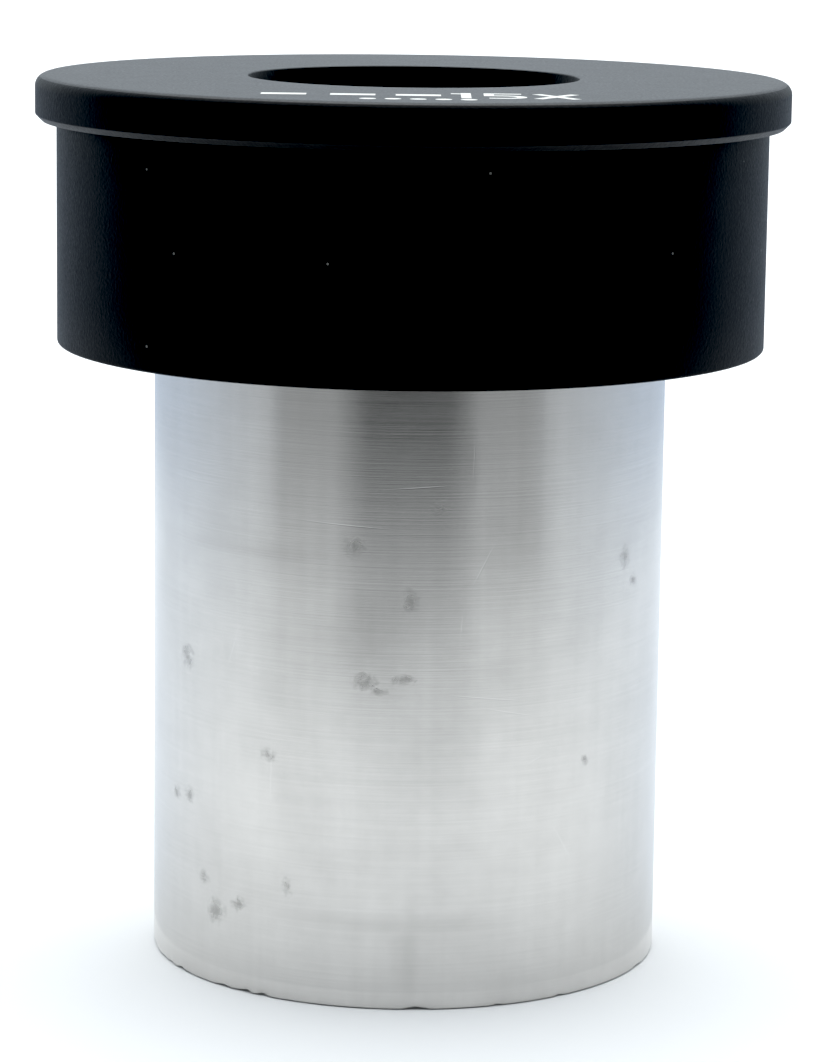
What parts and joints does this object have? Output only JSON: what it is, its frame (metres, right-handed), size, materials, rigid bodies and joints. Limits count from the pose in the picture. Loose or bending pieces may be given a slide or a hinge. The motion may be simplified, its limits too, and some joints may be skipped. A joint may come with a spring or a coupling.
{
  "type": "eyepiece",
  "caption": "Push-fit wide-field eyepiece with a plain barrel, a wider collar and a flanged eye cap over two lens doublets and a screw-in field stop.",
  "frame": {"origin": "centre of the barrel's lower end", "axes": "+Z along the optical axis towards the eye; the engraved marks lie towards -Y, with the digits reading along +X"},
  "size_m": [0.034, 0.0338, 0.04],
  "materials": {
    "bare_aluminium": "turned",
    "black_enamel": "satin",
    "black_anodised": "matte",
    "white_paint": "matte",
    "coated_glass": "polished",
    "brass": "satin"
  },
  "bodies": {
    "barrel": {"barrel": "bare_aluminium"},
    "lens_cell": {"field_cell": "black_anodised", "field_crown": "coated_glass", "field_flint": "coated_glass", "field_ring": "black_anodised", "cell_shim": "brass"},
    "collar": {"collar": "black_enamel"},
    "eye_doublet": {"eye_flint": "coated_glass", "eye_crown": "coated_glass"},
    "eye_cap": {"eye_cap": "black_enamel", "engraving_paint": "white_paint", "eye_ring": "black_anodised"},
    "stop_disc": {"diaphragm": "black_anodised"},
    "stop_sleeve": {"stop_sleeve": "black_anodised", "lock_ring": "black_anodised"}
  },
  "joints": [
    {"name": "collar_lift", "type": "slide", "parent": "barrel", "child": "lens_cell", "axis": [0, 0, 1], "range_m": [0, 0.00225]},
    {"name": "collar_turn", "type": "hinge", "parent": "lens_cell", "child": "collar", "pos_m": [0, 0, 0.033], "axis": [0, 0, 1], "range_deg": [0, 1080]},
    {"name": "eye_cap_lift", "type": "slide", "parent": "collar", "child": "eye_doublet", "axis": [0, 0, 1], "range_m": [0, 0.003]},
    {"name": "eye_cap_turn", "type": "hinge", "parent": "eye_doublet", "child": "eye_cap", "pos_m": [0, 0, 0.037], "axis": [0, 0, 1], "range_deg": [0, 1440]},
    {"name": "stop_travel", "type": "slide", "parent": "barrel", "child": "stop_disc", "axis": [0, 0, 1], "range_m": [-0.0015, 0.0015]},
    {"name": "stop_turn", "type": "hinge", "parent": "stop_disc", "child": "stop_sleeve", "pos_m": [0, 0, 0.015], "axis": [0, 0, 1], "range_deg": [-720, 720]}
  ],
  "couplings": [
    {"joint": "collar_lift", "follows": "collar_turn", "m_per_rad": 0.00011937},
    {"joint": "eye_cap_lift", "follows": "eye_cap_turn", "m_per_rad": 0.00011937},
    {"joint": "stop_travel", "follows": "stop_turn", "m_per_rad": 0.00011937}
  ]
}
